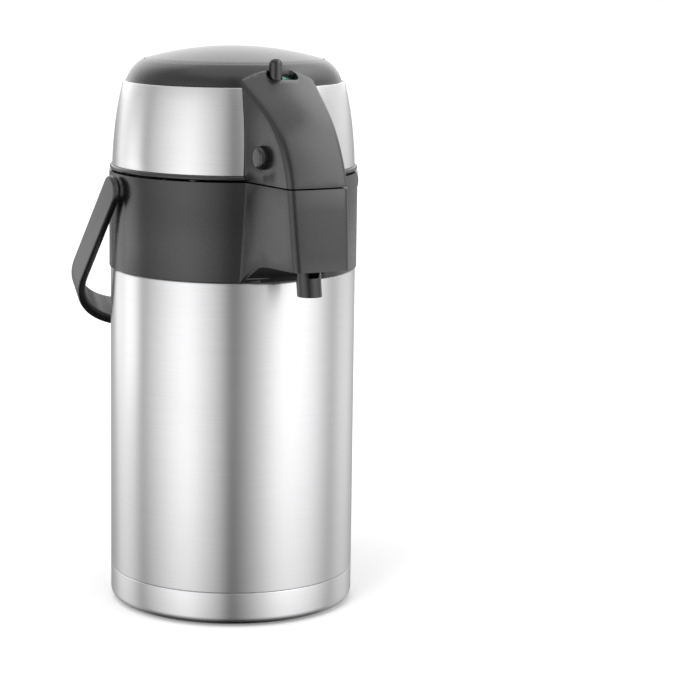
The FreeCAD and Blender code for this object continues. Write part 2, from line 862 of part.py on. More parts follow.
def make_deck_plate():
    plate = disc(collar_inner - fit_gap, deck_bottom, deck_top)
    beak = lower_beak(moulding_wall + fit_gap, shell_height, beak_root_reach)
    beak = beak.common(beak_slice(deck_bottom, deck_top, 0.0))
    plate = plate.fuse(beak).removeSplitter()
    plate = plate.cut(disc(mouth_outer + fit_gap, deck_bottom, deck_top))
    plate = plate.cut(claw_slot(deck_bottom, deck_top, hook_tip - hook_grip))
    for angle in deck_screw_angles:
        x, y = around(deck_screw_ring, angle)
        plate = plate.cut(disc(screw_radius + screw_hole_gap, deck_bottom, deck_top, x, y))
    return plate


def screw(x, y, head_z, toward, length):
    # A pan-head screw whose head seats at head_z and whose shank runs along toward
    direction = Vector(0, 0, toward)
    crown_z = head_z - toward * screw_head_height
    head = Part.makeCylinder(screw_head_radius, screw_head_height, Vector(x, y, crown_z), direction)
    shank = Part.makeCylinder(screw_radius, length, Vector(x, y, head_z), direction)
    flat = [edge for edge in head.Edges if edge.BoundBox.ZLength < tiny]
    crown = [edge for edge in flat if abs(edge.BoundBox.Center.z - crown_z) < tiny]
    head = head.makeFillet(screw_head_height / 3.0, crown)
    drive = Part.makeCylinder(screw_drive_radius, screw_head_height / 2.0, Vector(x, y, crown_z), direction)
    return head.cut(drive).fuse(shank).removeSplitter()


def make_deck_screws():
    screws = []
    for angle in deck_screw_angles:
        x, y = around(deck_screw_ring, angle)
        screws.append(screw(x, y, deck_top, -1, deck_thickness + deck_screw_length - screw_end_gap))
    return Part.makeCompound(screws)


def make_hinge_pin():
    return hinge_bar(hinge_pin_radius, -ear_end, ear_end)


# Handle

def handle_place(side, along, lift):
    # A point in the handle's own plane: across the pot, along its arms, and square to both
    y = along * math.cos(handle_drop) + lift * math.sin(handle_drop)
    z = handle_pivot_height - along * math.sin(handle_drop) + lift * math.cos(handle_drop)
    return Vector(side, y, z)


def bow(half, length, corner):
    # One side of the bow, from the left arm's root round to the right arm's root
    short = corner * (1.0 - math.sqrt(0.5))
    return (
        (-half, 0.0),
        (-half, length - corner),
        (-half + corner, length, -half + short, length - short),
        (half - corner, length),
        (half, length - corner, half - short, length - short),
        (half, 0.0),
    )


def make_handle():
    outer = bow(handle_outer_half, handle_length, handle_outer_corner)
    inner = bow(handle_inner_half, handle_inner_length, handle_inner_corner)
    low = -handle_width / 2.0
    place = lambda side, along: handle_place(side, along, low)
    lift = handle_place(0, 0, handle_width).sub(handle_place(0, 0, 0))
    strap = outline(outer, place).extrude(lift).cut(outline(inner, place).extrude(lift))
    ends = []
    for side in (-1, 1):
        first, last = sorted((side * handle_inner_half, side * handle_outer_half))
        ends.append(rod(handle_width / 2.0, first, last, 0, handle_pivot_height))
    handle = strap.fuse(ends).removeSplitter()
    long_edges = [edge for edge in handle.Edges if edge.Length > handle_width]
    handle = handle.makeFillet(handle_edge, long_edges)
    reach = handle_inner_half + pivot_bite
    return handle.cut(rod(pivot_radius + tube_fit, -reach, reach, 0, handle_pivot_height))


def make_handle_pins():
    reach = handle_inner_half + pivot_bite - tube_fit
    head_out = collar_inner - pivot_head_gap
    head_in = head_out - pivot_head_thickness
    pin = rod(pivot_radius, head_in, reach, 0, handle_pivot_height)
    pin = pin.fuse(rod(pivot_head_radius, head_in, head_out, 0, handle_pivot_height)).removeSplitter()
    return Part.makeCompound([mirrored(pin), pin])


# Head

def head_wall(inset, bottom):
    # A solid head, without the beak, whose side stands inset from the band's outer face
    low = band_low_radius - inset
    via = (band_mid_radius - inset, band_bottom + band_mid_rise)
    top = (band_top_radius - inset, band_top)
    return turned((0, bottom), (low, bottom), (low, band_bottom), top + via, (0, band_top))


def shoulder_dome(inset):
    # The cap's rounded shoulder as a solid
    short = inset * math.sqrt(0.5)
    via = (shoulder_via_radius - short, band_top + shoulder_via_rise - short)
    low = band_top - moulding_wall - overcut
    return turned(
        (0, low),
        (shoulder_radius - inset, low),
        (shoulder_radius - inset, band_top),
        (cap_mouth_radius, cap_top - inset) + via,
        (0, cap_top - inset),
    )


def make_lid_cap():
    beak = soften_front(upper_beak(0.0, lid_bottom), beak_edge_radius, lid_bottom, cap_top)
    backing = head_wall(sheet + tube_fit, band_bottom)
    solid = backing.fuse([shoulder_dome(0.0), beak]).removeSplitter()
    low = lid_bottom - overcut
    hollow = head_wall(sheet + tube_fit + moulding_wall, low)
    hollow = hollow.cut(disc(band_low_radius, band_top - moulding_wall, band_top + overcut))
    hollow = hollow.fuse([shoulder_dome(moulding_wall), upper_beak(moulding_wall, low)])
    cap = solid.cut(hollow).cut(disc(cap_mouth_radius, lid_bottom, dome_top))
    bosses = []
    for angle in lid_screw_angles:
        x, y = around(lid_screw_ring, angle)
        boss = disc(screw_boss_radius, floor_top, floor_top + lid_screw_length, x, y)
        bosses.append(boss.common(head_wall(sheet + tube_fit, lid_bottom)))
    cap = cap.fuse(bosses).removeSplitter()
    for angle in lid_screw_angles:
        x, y = around(lid_screw_ring, angle)
        drill_top = floor_top + lid_screw_length - screw_end_gap
        cap = cap.cut(disc(screw_radius + screw_thread_gap, floor_top, drill_top, x, y))
    slot_inner = slot_reach - slot_half_width
    slot_outer = slot_reach + slot_half_width
    slot = sector(slot_outer, slot_inner, skirt_bottom, dome_top, slot_first_angle, slot_last_angle)
    for angle in (slot_first_angle, slot_last_angle):
        x, y = around(slot_reach, angle)
        slot = slot.fuse(disc(slot_half_width, skirt_bottom, dome_top, x, y))
    cap = cap.cut(slot)
    hole = button_radius + button_gap
    return cap.cut(button_bar(hole, -button_face, button_face))


def beak_gap_sides():
    # The beak's sides with a small gap, for what is cut to pass them
    return beak_sides(collar_top, band_top + overcut, -fit_gap).cut(disc(beak_near, collar_top, cap_top))


def make_lid_band():
    inside = head_wall(sheet, lid_bottom)
    band = head_wall(0.0, band_bottom).cut(inside)
    return band.cut(beak_gap_sides())


def make_lid_rim():
    half = lid_rim_height / 2.0
    ring = turned(
        (lid_rim_inner, lid_bottom),
        (lid_rim_radius - half, lid_bottom),
        (lid_rim_radius - half, band_bottom, lid_rim_radius, lid_bottom + half),
        (lid_rim_inner, band_bottom),
    )
    notch_half = knuckle_half + ear_gap
    notch_top = lid_bottom + knuckle_arm + fit_gap
    notch = block(-notch_half, notch_half, 0, hinge_reach, lid_bottom, notch_top)
    return ring.cut(beak_gap_sides()).cut(notch)


def make_lid_floor():
    plate = disc(lid_rim_inner - fit_gap, lid_bottom, floor_top)
    beak = upper_beak(moulding_wall + fit_gap, lid_bottom)
    beak = beak.common(beak_slice(lid_bottom, floor_top, beak_near))
    arm_top = lid_bottom + knuckle_arm
    arm = block(-knuckle_half, knuckle_half, beak_near, hinge_reach, lid_bottom, arm_top)
    barrel = hinge_bar(hinge_barrel_radius, -knuckle_half, knuckle_half)
    post_front = -button_reach - spring_post_half_depth
    post_rear = -button_reach + spring_post_half_depth
    post_top = button_height + spring_post_rise
    post = block(-spring_post_half, spring_post_half, post_front, post_rear, floor_top, post_top)
    plate = plate.fuse([beak, arm, barrel, post]).removeSplitter()
    plate = plate.cut(hinge_bar(hinge_pin_radius + hinge_pin_fit, -knuckle_half, knuckle_half))
    plate = plate.cut(claw_slot(lid_bottom, floor_top, button_flange_back + claw_slot_clearance))
    plate = plate.cut(disc(flap_stem_radius + tube_fit, lid_bottom, floor_top))
    plate = plate.cut(air_holes(lid_bottom, floor_top))
    for angle in lid_screw_angles:
        x, y = around(lid_screw_ring, angle)
        plate = plate.cut(disc(screw_radius + screw_hole_gap, lid_bottom, floor_top, x, y))
    return plate


def air_holes(bottom, top):
    holes = []
    for number in range(air_hole_count):
        x, y = around(air_hole_reach, 360.0 * number / air_hole_count)
        holes.append(disc(air_hole_radius, bottom, top, x, y))
    return Part.makeCompound(holes)


def make_lid_screws():
    screws = []
    for angle in lid_screw_angles:
        x, y = around(lid_screw_ring, angle)
        screws.append(screw(x, y, lid_bottom, 1, floor_thickness + lid_screw_length - 2.0 * screw_end_gap))
    return Part.makeCompound(screws)


def make_lid_gasket():
    outer = mouth_outer - gasket_inset
    inner = mouth_radius + gasket_inset
    return tube(outer, inner, deck_top + gasket_gap, lid_bottom)


def make_air_flap():
    cap = disc(flap_radius, lid_bottom - flap_thickness, lid_bottom)
    stem = disc(flap_stem_radius, lid_bottom, floor_top - fit_gap)
    return cap.fuse(stem).removeSplitter()


def make_pump_housing():
    wall = tube(housing_outer, housing_inner, floor_top, cap_top - housing_drop)
    shelf_top = slide_bottom - slide_gap
    shelf_low = shelf_top - shelf_thickness
    shelf_end = slide_half_angle + lock_turn
    shelf = sector(slide_outer, housing_inner + weld, shelf_low, shelf_top, -shelf_end, shelf_end)
    housing = wall.fuse(shelf).removeSplitter()
    first = tab_angle - tab_half_angle - tab_clearance_angle
    last = tab_angle + tab_half_angle + lock_turn + tab_clearance_angle
    window_top = slide_top + tab_clearance
    outer = housing_outer + overcut
    return housing.cut(sector(outer, housing_inner - overcut, shelf_top, window_top, first, last))


def make_bellows_base():
    plate = disc(bellows_radius + bellows_base_rim, floor_top, bellows_bottom)
    well = disc(air_hole_reach + 2.0 * air_hole_radius, floor_top, bellows_bottom)
    return plate.cut(well)


def make_bellows():
    # A pleated wall whose folds run out and in between two flat ends
    step = (bellows_top - tube_fit - bellows_bottom) / (2.0 * bellows_folds)
    lean = bellows_wall * math.hypot(step, bellows_fold) / step
    outer = []
    for number in range(2 * bellows_folds + 1):
        radius = bellows_radius if number % 2 else bellows_radius - bellows_fold
        outer.append((radius, bellows_bottom + step * number))
    inner = [(radius - lean, height) for radius, height in reversed(outer)]
    return turned(*(outer + inner))


def make_return_spring():
    length = bellows_top - bellows_bottom - 2.0 * spring_end_gap
    coil = helix_spring(spring_radius, spring_wire, spring_turns, length)
    coil.translate(Vector(0, 0, bellows_bottom + spring_end_gap))
    return coil


def make_press_plate():
    ball = (dome_radius ** 2 + dome_rise ** 2) / (2.0 * dome_rise)
    side = math.sqrt(ball ** 2 - (dome_radius / 2.0) ** 2)
    drop = dome_top - ball
    inner_ball = ball - dome_wall
    inner_edge = drop + math.sqrt(inner_ball ** 2 - skirt_inner ** 2)
    inner_side = math.sqrt(inner_ball ** 2 - (skirt_inner / 2.0) ** 2)
    shell = turned(
        (0, dome_top - dome_wall),
        (0, dome_top),
        (dome_radius, cap_top, dome_radius / 2.0, drop + side),
        (dome_radius, skirt_bottom),
        (skirt_inner, skirt_bottom),
        (skirt_inner, inner_edge),
        (0, dome_top - dome_wall, skirt_inner / 2.0, drop + inner_side),
    )
    boss_low = bellows_top + bellows_cap_thickness
    boss = tube(push_boss_radius, push_boss_radius - push_boss_wall, boss_low, dome_top - dome_wall)
    # The skirt is cut away where the lock's tab stands while the dome is pressed
    first = tab_angle - tab_half_angle - tab_clearance_angle
    last = tab_angle + tab_half_angle + tab_clearance_angle
    notch_top = slide_top + press_stroke + tab_clearance
    notch = sector(cap_mouth_radius, skirt_inner - overcut, skirt_bottom, notch_top, first, last)
    return shell.fuse(boss).removeSplitter().cut(notch)


def make_bellows_cap():
    return disc(bellows_radius, bellows_top, bellows_top + bellows_cap_thickness)


# Lock

def make_lock_slide():
    end = slide_half_angle
    plate = sector(slide_outer, slide_inner, slide_bottom, slide_top, -end, end)
    first = lever_angle - lug_half_angle
    last = lever_angle + lug_half_angle
    lug = sector(slide_inner + slide_lug_width, slide_inner, slide_bottom, slide_top, first, last)
    first = tab_angle - tab_half_angle
    last = tab_angle + tab_half_angle
    tab = sector(slide_inner + weld, dome_radius - tab_reach, slide_bottom, slide_top, first, last)
    wall = sector(hump_outer, slide_inner, slide_top, hump_top, lever_angle, hump_end_angle)
    # The wall's top falls away in an arc towards its free end
    start_x = around(hump_outer, lever_angle)[0] - weld
    end_x = around(hump_outer, hump_end_angle)[0] + weld
    end_top = hump_top - hump_fall
    via = arc_leaving((start_x, hump_top), (1.0, 0.0), (end_x, end_top))
    low = slide_top - overcut
    keep = outline(
        ((start_x, low), (start_x, hump_top), (end_x, end_top) + via, (end_x, low)),
        lambda x, z: Vector(x, -hump_outer - overcut, z),
    ).extrude(Vector(0, hump_outer, 0))
    return plate.fuse([lug, tab, wall.common(keep)]).removeSplitter()


def make_lock_lever():
    x, y = around(slot_reach, lever_angle)
    peg = disc(lever_radius, slide_top, lever_top, x, y)
    rim = [edge for edge in peg.Edges if edge.BoundBox.ZMin > lever_top - tiny]
    return peg.makeFillet(lever_round, rim)


# Release buttons, right-hand side first

def button_bar(radius, first_x, last_x):
    return rod(radius, first_x, last_x, -button_reach, button_height)


def make_release_button():
    back = button_flange_back
    cap = button_bar(button_radius, button_flange_front, button_face)
    face_edge = [edge for edge in cap.Edges if edge.BoundBox.XMin > button_face - tiny]
    cap = cap.makeFillet(button_round, face_edge)
    flange = button_bar(button_radius + button_flange, back, button_flange_front)
    return cap.fuse(flange).removeSplitter().cut(button_bar(button_pocket_radius, back, button_pocket_end))


def make_latch_claw():
    hook_top = deck_bottom - claw_gap
    hook_low = hook_top - claw_hook_height
    head_low = floor_top + claw_gap
    head_top = button_height + claw_head_half
    front = -button_reach - claw_head_half
    head = block(claw_back, button_flange_back, front, front + 2.0 * claw_head_half, head_low, head_top)
    front = -button_reach - claw_leg_half
    leg = block(claw_back, button_flange_back, front, front + 2.0 * claw_leg_half, hook_low, head_low)
    hook = outline(
        (
            (claw_back, hook_low),
            (button_flange_back, hook_low),
            (hook_tip, hook_top - claw_hook_lip),
            (hook_tip, hook_top),
            (claw_back, hook_top),
        ),
        lambda x, z: Vector(x, front, z),
    ).extrude(Vector(0, 2.0 * claw_leg_half, 0))
    claw = head.fuse([leg, hook]).removeSplitter()
    return claw.cut(button_bar(button_pocket_radius, claw_back, button_flange_back))


def make_button_spring():
    length = button_pocket_end - spring_post_half - 2.0 * spring_end_gap
    radius = button_pocket_radius - button_spring_gap
    coil = helix_spring(radius, button_spring_wire, button_spring_turns, length)
    coil.rotate(origin, Vector(0, 1, 0), 90)
    coil.translate(Vector(spring_post_half + spring_end_gap, -button_reach, button_height))
    return coil


right_button = make_release_button()
right_claw = make_latch_claw()
right_spring = make_button_spring()

pieces = {
    "outer_shell": make_outer_shell(),
    "base_cup": make_base_cup(),
    "base_pad": make_base_pad(),
    "inner_liner": make_inner_liner(),
    "neck_seal": make_neck_seal(),
    "mouth_ring": make_mouth_ring(),
    "tube_grommet": make_tube_grommet(),
    "outlet_elbow": make_outlet_elbow(),
    "dip_tube": make_dip_tube(),
    "valve_housing": make_valve_housing(),
    "valve_ball": make_valve_ball(),
    "nozzle": make_nozzle(),
    "spout_floor": make_spout_floor(),
    "collar": make_collar(),
    "deck_plate": make_deck_plate(),
    "deck_screws": make_deck_screws(),
    "hinge_pin": make_hinge_pin(),
    "handle": make_handle(),
    "handle_pins": make_handle_pins(),
    "lid_cap": make_lid_cap(),
    "lid_band": make_lid_band(),
    "lid_rim": make_lid_rim(),
    "lid_floor": make_lid_floor(),
    "lid_screws": make_lid_screws(),
    "lid_gasket": make_lid_gasket(),
    "air_flap": make_air_flap(),
    "pump_housing": make_pump_housing(),
    "bellows_base": make_bellows_base(),
    "bellows": make_bellows(),
    "return_spring": make_return_spring(),
    "bellows_cap": make_bellows_cap(),
    "press_plate": make_press_plate(),
    "lock_slide": make_lock_slide(),
    "lock_lever": make_lock_lever(),
    "release_button_right": right_button,
    "release_button_left": mirrored(right_button),
    "latch_claw_right": right_claw,
    "latch_claw_left": mirrored(right_claw),
    "button_spring_right": right_spring,
    "button_spring_left": mirrored(right_spring),
}

os.makedirs("parts", exist_ok=True)
for name, shape in pieces.items():
    solids = len(shape.Solids)
    print(f"{name}: {solids} solid(s), {shape.Volume / 1000.0:.2f} cm3, valid {shape.isValid()}")
    shape.exportStep(f"parts/{name}.step")
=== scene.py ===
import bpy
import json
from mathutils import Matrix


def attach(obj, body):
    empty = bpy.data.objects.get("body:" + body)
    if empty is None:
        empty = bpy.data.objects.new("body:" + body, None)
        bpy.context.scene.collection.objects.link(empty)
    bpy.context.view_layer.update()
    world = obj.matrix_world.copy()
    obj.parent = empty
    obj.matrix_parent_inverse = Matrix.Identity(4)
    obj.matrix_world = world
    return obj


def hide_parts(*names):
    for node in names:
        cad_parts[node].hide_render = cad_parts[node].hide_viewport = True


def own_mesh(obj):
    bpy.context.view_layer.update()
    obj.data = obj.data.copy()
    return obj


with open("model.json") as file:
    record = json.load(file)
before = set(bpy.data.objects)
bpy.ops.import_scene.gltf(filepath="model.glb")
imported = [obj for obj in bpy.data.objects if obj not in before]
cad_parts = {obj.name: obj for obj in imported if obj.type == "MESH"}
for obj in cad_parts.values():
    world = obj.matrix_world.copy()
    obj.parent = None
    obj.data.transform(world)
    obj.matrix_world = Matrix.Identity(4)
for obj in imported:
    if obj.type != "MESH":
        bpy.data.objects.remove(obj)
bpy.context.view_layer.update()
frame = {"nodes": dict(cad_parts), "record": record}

import bmesh
import bpy
import json
import math
from mathutils import Vector

scene = bpy.context.scene
scene.view_settings.view_transform = "Standard"
nodes = frame["nodes"]
mm = 0.001
samePoint = 1e-6     # metres; points nearer than this are one point
print("frame loaded:", len(nodes), "CAD nodes")


# nodes for the finishes

def newMaterial(name):
    material = bpy.data.materials.new(name)
    material.use_nodes = True
    tree = material.node_tree
    tree.nodes.clear()
    out = tree.nodes.new("ShaderNodeOutputMaterial")
    shader = tree.nodes.new("ShaderNodeBsdfPrincipled")
    tree.links.new(shader.outputs["BSDF"], out.inputs["Surface"])
    return material, tree, shader


def addNode(tree, kind, **values):
    node = tree.nodes.new(kind)
    for key, value in values.items():
        if key in node.inputs:
            node.inputs[key].default_value = value
        else:
            setattr(node, key, value)
    return node


def grey(level):
    return (level, level, level)


def objectCoords(tree, stretch=grey(1.0)):
    coords = tree.nodes.new("ShaderNodeTexCoord")
    mapping = addNode(tree, "ShaderNodeMapping", Scale=stretch)
    tree.links.new(coords.outputs["Object"], mapping.inputs["Vector"])
    return mapping.outputs["Vector"]


def noiseOn(tree, vector, scale, detail):
    noise = addNode(tree, "ShaderNodeTexNoise", Scale=scale, Detail=detail)
    tree.links.new(vector, noise.inputs["Vector"])
    return noise.outputs["Fac"]


def rampOn(tree, value, stops):
    ramp = tree.nodes.new("ShaderNodeValToRGB")
    while len(ramp.color_ramp.elements) < len(stops):
        ramp.color_ramp.elements.new(0.5)
    for element, (place, colour) in zip(ramp.color_ramp.elements, stops):
        element.position = place
        element.color = (*colour, 1.0)
    tree.links.new(value, ramp.inputs["Fac"])
    return ramp.outputs["Color"]


def bumpOn(tree, shader, height, strength, distance):
    bump = addNode(tree, "ShaderNodeBump", Strength=strength, Distance=distance)
    tree.links.new(height, bump.inputs["Height"])
    tree.links.new(bump.outputs["Normal"], shader.inputs["Normal"])


# a noise turned into a blend of two colours, over the span where most of its values lie
def spreadOn(tree, noise, first, second, span=(0.3, 0.7)):
    return rampOn(tree, noise, ((span[0], first), (span[1], second)))


# steel is brushed round the body, so it blurs up and down
brushing = {"lines": (40.0, 40.0, 2600.0), "lineDetail": 2.0, "clouds": 14.0, "cloudDetail": 3.0,
            "dark": 0.95, "turn": 0.25, "bump": 0.02, "depth": 0.0002}
steels = {
    "steel": {"name": "satinSteel", "tone": (0.80, 0.80, 0.81), "rough": (0.28, 0.32), "stretch": 0.8},
    "hardware_steel": {"name": "hardwareSteel", "tone": grey(0.62), "rough": (0.26, 0.34), "stretch": 0.2},
}


def makeSteel(name, tone, rough, stretch):
    material, tree, shader = newMaterial(name)
    shader.inputs["Metallic"].default_value = 1.0
    shader.inputs["Anisotropic"].default_value = stretch
    shader.inputs["Anisotropic Rotation"].default_value = brushing["turn"]
    lines = noiseOn(tree, objectCoords(tree, brushing["lines"]), 1.0, brushing["lineDetail"])
    cloud = noiseOn(tree, objectCoords(tree), brushing["clouds"], brushing["cloudDetail"])
    darkTone = tuple(brushing["dark"] * value for value in tone)
    tree.links.new(spreadOn(tree, lines, darkTone, tone), shader.inputs["Base Color"])
    tree.links.new(spreadOn(tree, cloud, grey(rough[0]), grey(rough[1])), shader.inputs["Roughness"])
    bumpOn(tree, shader, lines, brushing["bump"], brushing["depth"])
    tangent = addNode(tree, "ShaderNodeTangent", direction_type="RADIAL", axis="Z")
    tree.links.new(tangent.outputs["Tangent"], shader.inputs["Tangent"])
    return material


# plastics and rubber are cloudy in tone and finely specked in roughness
graining = {"clouds": 22.0, "cloudDetail": 4.0, "cloudSpan": (0.3, 0.75), "speckDetail": 2.0,
            "depth": 0.0003}
plastics = {
    "dark_plastic": {"name": "darkMoulding", "tone": (0.005, 0.0049, 0.0048), "lift": 1.2,
                     "rough": (0.23, 0.29), "refraction": 1.72, "grain": 0.03, "specks": 2600.0},
    "black_plastic": {"name": "blackMoulding", "tone": grey(0.004), "lift": 1.3,
                      "rough": (0.20, 0.27), "refraction": 1.72, "grain": 0.04, "specks": 2600.0},
    "teal_plastic": {"name": "tealMoulding", "tone": (0.13, 0.68, 0.51), "lift": 1.06,
                     "rough": (0.30, 0.36), "refraction": 1.5, "grain": 0.02, "specks": 2600.0},
    "pale_plastic": {"name": "paleMoulding", "tone": (0.60, 0.60, 0.58), "lift": 1.05,
                     "rough": (0.40, 0.48), "refraction": 1.5, "grain": 0.04, "specks": 2600.0},
    "rubber": {"name": "grainedRubber", "tone": grey(0.012), "lift": 1.5,
               "rough": (0.52, 0.70), "refraction": 1.45, "grain": 0.35, "specks": 1500.0},
}
# painted shade: a shaded copy of the black moulding, rougher and mirroring less, so that the underside of
# the beak renders dark as if in shade
shadedUndersidePlastic = {"name": "shadedMoulding", "tone": grey(0.004), "lift": 1.3,
               "rough": (0.48, 0.58), "refraction": 1.3, "grain": 0.03, "specks": 2600.0}


def makeMoulding(name, tone, lift, rough, refraction, grain, specks):
    material, tree, shader = newMaterial(name)
    shader.inputs["IOR"].default_value = refraction
    cloud = noiseOn(tree, objectCoords(tree), graining["clouds"], graining["cloudDetail"])
    speck = noiseOn(tree, objectCoords(tree), specks, graining["speckDetail"])
    liftedTone = tuple(value * lift for value in tone)
    colour = spreadOn(tree, cloud, tone, liftedTone, graining["cloudSpan"])
    tree.links.new(colour, shader.inputs["Base Color"])
    tree.links.new(spreadOn(tree, speck, grey(rough[0]), grey(rough[1])), shader.inputs["Roughness"])
    bumpOn(tree, shader, speck, grain, graining["depth"])
    return material


finishes = {slot: makeSteel(**look) for slot, look in steels.items()}
finishes.update({slot: makeMoulding(**look) for slot, look in plastics.items()})
# the shaded copy of the black moulding, painted shade for the beak's underside
shadedMoulding = makeMoulding(**shadedUndersidePlastic)
slotOf = {}
bodyOf = {}
for part in frame["record"]["subparts"]:
    slotOf[part["node"]] = part["material_slot"]
    mesh = nodes[part["node"]].data
    mesh.materials.clear()
    mesh.materials.append(finishes[part["material_slot"]])
for body, members in frame["record"]["behaviour"]["bodies"].items():
    for node in members:
        bodyOf[node] = body
# the dull one in the print is the shaded copy of the black moulding, painted shade
print("finishes:", len(finishes), "and the dull one")


# modelling helpers

def selectOnly(piece):
    bpy.ops.object.select_all(action="DESELECT")
    piece.select_set(True)
    bpy.context.view_layer.objects.active = piece


def startEdit(piece):
    selectOnly(piece)
    bpy.ops.object.mode_set(mode="EDIT")
    bpy.ops.mesh.select_all(action="SELECT")


def endEdit():
    bpy.ops.object.mode_set(mode="OBJECT")


def pickVertices(piece, wanted):
    work = bmesh.from_edit_mesh(piece.data)
    bpy.ops.mesh.select_all(action="DESELECT")
    for vertex in work.verts:
        if wanted(vertex.co):
            vertex.select = True
    work.select_flush(True)
    bmesh.update_edit_mesh(piece.data)


def smoothBelow(degrees):
    bpy.ops.object.shade_smooth_by_angle(angle=math.radians(degrees))


def standFor(piece, *nodeNames):
    first = nodeNames[0]
    piece.data.materials.clear()
    piece.data.materials.append(finishes[slotOf[first]])
    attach(piece, bodyOf[first])
    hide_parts(*nodeNames)


# an outline of (radius, height, rounding) corners in millimetres, traced at an angle round the axis
def traceOutline(name, corners, angle=0.0, roundSteps=4):
    turn = math.radians(angle)

    def place(radius, height):
        return Vector((radius * mm * math.cos(turn), radius * mm * math.sin(turn), height * mm))

    bpy.ops.object.select_all(action="DESELECT")
    bpy.ops.mesh.primitive_plane_add(size=mm)
    piece = bpy.context.object
    piece.name = piece.data.name = name
    startEdit(piece)
    bpy.ops.mesh.merge(type="CENTER")
    bpy.ops.transform.translate(value=place(*corners[0][:2]))
    for last, step in zip(corners, corners[1:]):
        move = place(*step[:2]) - place(*last[:2])
        bpy.ops.mesh.extrude_vertices_move(TRANSFORM_OT_translate={"value": move})
    ends = (place(*corners[0][:2]), place(*corners[-1][:2]))
    pickVertices(piece, lambda co: min((co - end).length for end in ends) < samePoint)
    bpy.ops.mesh.edge_face_add()
    for radius, height, rounding in corners:
        if rounding:
            spot = place(radius, height)
            pickVertices(piece, lambda co: (co - spot).length < samePoint)
            bpy.ops.mesh.bevel(offset=rounding * mm, segments=roundSteps, affect="VERTICES")
    return piece


fullTurn = 360.0
beakAngle = -90.0     # degrees; the beak points along the negative y axis
spunSmooth = 35.0     # degrees; flatter edges of a spun piece are shaded smooth


# the outline that is being edited, spun clockwise; a part turn has closed ends
def spinOutline(steps, sweep=fullTurn):
    bpy.ops.mesh.select_all(action="SELECT")
    if sweep < fullTurn:
        bpy.ops.mesh.edge_face_add()
    bpy.ops.mesh.spin(steps=steps, angle=math.radians(sweep), center=(0, 0, 0), axis=(0, 0, 1))
    bpy.ops.mesh.select_all(action="SELECT")
    bpy.ops.mesh.remove_doubles(threshold=samePoint)
    bpy.ops.mesh.normals_make_consistent(inside=False)
    endEdit()
    smoothBelow(spunSmooth)


# angles in degrees: flat faces are merged, sharp edges are broken, the rest is shaded smooth
softEdge = {"flat": 0.05, "sharp": 42.0, "smooth": 34.0, "segments": 2}


# a merged copy of a CAD node with its sharp edges broken, the width in millimetres
def softCopy(name, nodeName, width=0.0):
    piece = bpy.data.objects.new(name, nodes[nodeName].data.copy())
    piece.data.name = name
    scene.collection.objects.link(piece)
    selectOnly(piece)
    bpy.ops.mesh.customdata_custom_splitnormals_clear()     # the stored normals don't survive merging
    startEdit(piece)
    bpy.ops.mesh.remove_doubles(threshold=samePoint)
    if width:
        bpy.ops.mesh.dissolve_limited(angle_limit=math.radians(softEdge["flat"]))
    endEdit()
    if width:
        edge = piece.modifiers.new("edgeBreak", "BEVEL")
        edge.width = width * mm
        edge.segments = softEdge["segments"]
        edge.limit_method = "ANGLE"
        edge.angle_limit = math.radians(softEdge["sharp"])
        bpy.ops.object.modifier_apply(modifier=edge.name)
    smoothBelow(softEdge["smooth"])
    return piece


# body shell: the tall brushed wall, which steps in under the collar and narrows to the neck
bodyShell = {"steps": 160, "radius": 75.2, "wall": 0.8, "low": 21.1, "high": 209.0, "edge": 0.5,
             "joggle": 2.8, "neckRadius": 47.0, "bend": 1.5,
             "shoulderRise": 21.0, "neckRise": 33.0, "rimRise": 37.0}     # above the high edge


def buildBodyShell():
    dims = bodyShell
    outer, wall, high, bend = dims["radius"], dims["wall"], dims["high"], dims["bend"]
    inner = outer - wall
    step = outer - dims["joggle"]
    neck = dims["neckRadius"]
    shoulderLow = high + dims["shoulderRise"]
    shoulderHigh = high + dims["neckRise"]
    neckHigh = high + dims["rimRise"]
    piece = traceOutline("bodyShell", (
        (outer, dims["low"], dims["edge"]),
        (outer, high, dims["joggle"] - wall),
        (step, high, 0),
        (step, shoulderLow, bend),
        (neck, shoulderHigh, bend),
        (neck, neckHigh, 0),
        (neck - wall, neckHigh, 0),
        (neck - wall, shoulderHigh - wall, bend),
        (step - wall, shoulderLow - wall, bend),
        (step - wall, high - wall, 0),
        (inner, high - dims["joggle"], 0),
        (inner, dims["low"], 0),
    ))
    spinOutline(dims["steps"])
    standFor(piece, "outer_shell")


# base cup: the short ring under the seam, with a full round at its foot, a recess for the pad
# and a sleeve that stands inside the body shell
baseCup = {"steps": 160, "roundSteps": 8, "radius": 75.2, "wall": 0.8, "top": 20.9, "edge": 0.6,
           "lift": 1.0, "foot": 5.0, "recess": 62.3, "recessEdge": 0.35, "floor": 4.0,
           "sleeveTop": 27.0, "sleeveGap": 0.05}


def buildBaseCup():
    dims = baseCup
    outer, wall, lift = dims["radius"], dims["wall"], dims["lift"]
    inner = outer - wall
    sleeve = inner - dims["sleeveGap"]
    recess = dims["recess"]
    piece = traceOutline("baseCup", (
        (0.0, dims["floor"], 0),
        (recess, dims["floor"], 0),
        (recess, lift, dims["recessEdge"]),
        (outer, lift, dims["foot"]),
        (outer, dims["top"], dims["edge"]),
        (sleeve, dims["top"], 0),
        (sleeve, dims["sleeveTop"], 0),
        (inner - wall, dims["sleeveTop"], 0),
        (inner - wall, lift + wall, dims["foot"] - 2.0 * wall),
        (recess + wall, lift + wall, 0),
        (recess + wall, dims["floor"] + wall, 0),
        (0.0, dims["floor"] + wall, 0),
    ), roundSteps=dims["roundSteps"])
    spinOutline(dims["steps"])
    standFor(piece, "base_cup")


# base pad: a soft-edged disc with a ring groove, bare inside the ring
basePad = {"steps": 128, "radius": 61.6, "thickness": 4.0, "edge": 0.8, "topEdge": 0.3, "grooveOuter": 57.0,
           "grooveInner": 55.8, "grooveDepth": 0.6, "grooveEdge": 0.25, "grooveCorner": 0.15}


